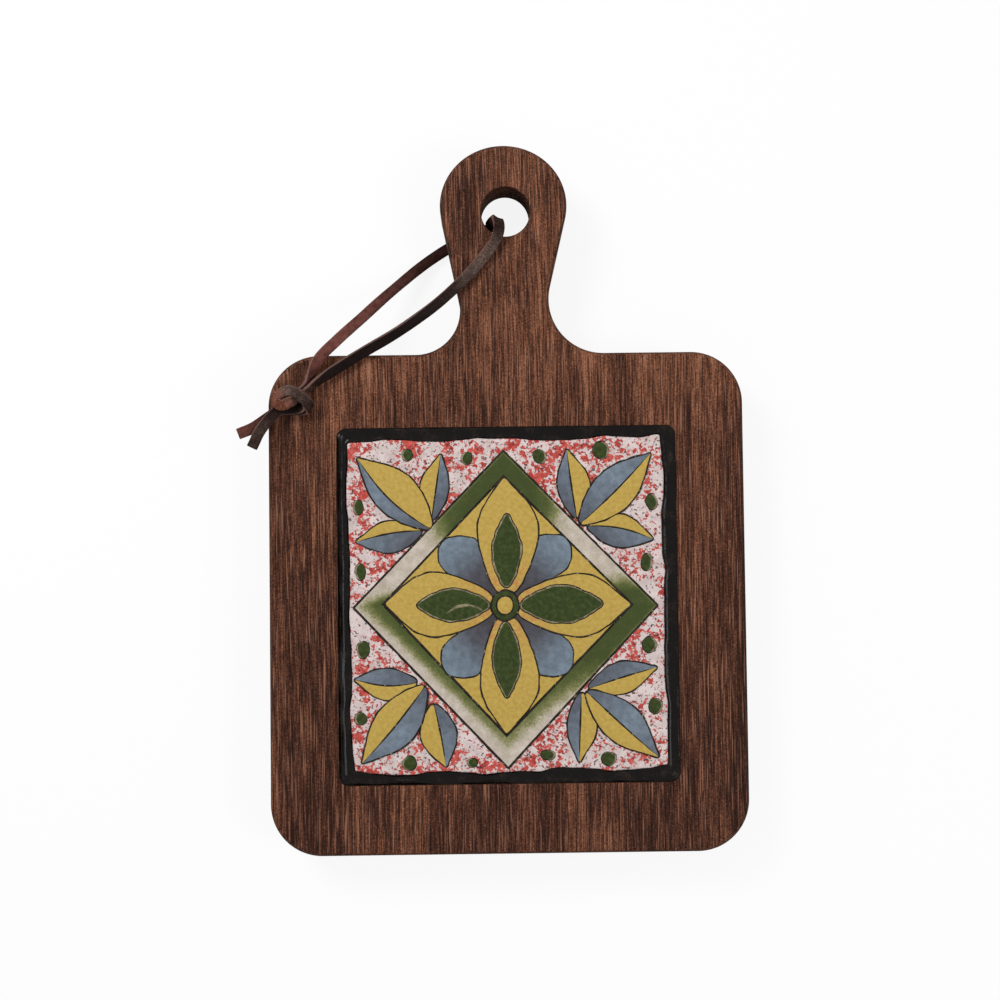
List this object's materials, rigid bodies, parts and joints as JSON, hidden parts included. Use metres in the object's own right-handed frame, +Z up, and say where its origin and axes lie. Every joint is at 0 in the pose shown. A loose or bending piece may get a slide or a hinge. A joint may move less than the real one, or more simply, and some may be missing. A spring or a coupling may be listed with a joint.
{
  "type": "wooden tile coaster",
  "caption": "Paddle-shaped wooden coaster with a glazed floral tile bedded in its face and a knotted leather lace through the handle, for standing a hot cup or pot on.",
  "frame": {"origin": "on the table, below the middle of the board's length and width", "axes": "+Y along the board towards the handle, +X across to the right as seen from above, +Z up out of the tile's face"},
  "size_m": [0.1575, 0.2208, 0.0258],
  "materials": {
    "dark_wood": "dark brown oiled plank, fine straight grain along the board, satin",
    "black_adhesive": "glossy black setting compound, slightly sunk",
    "glazed_tile": "hand-painted glazed ceramic, raised fields of colour, glossy",
    "foot_rubber": "matt dark rubber bumper",
    "brown_leather": "brown leather lace, smooth grain side and suede flesh side, square cut ends"
  },
  "bodies": {
    "board": {"board": "dark_wood", "adhesive_bed": "black_adhesive", "tile": "glazed_tile", "foot_lower_left": "foot_rubber", "foot_lower_right": "foot_rubber", "foot_upper_left": "foot_rubber", "foot_upper_right": "foot_rubber"},
    "lace": {"leather_lace": "brown_leather"}
  },
  "joints": [
    {"name": "lace_swing", "type": "hinge", "parent": "board", "child": "lace", "pos_m": [0.0009, 0.0896, 0.0175], "axis": [0, 0, -1], "range_deg": [0, 230]}
  ]
}
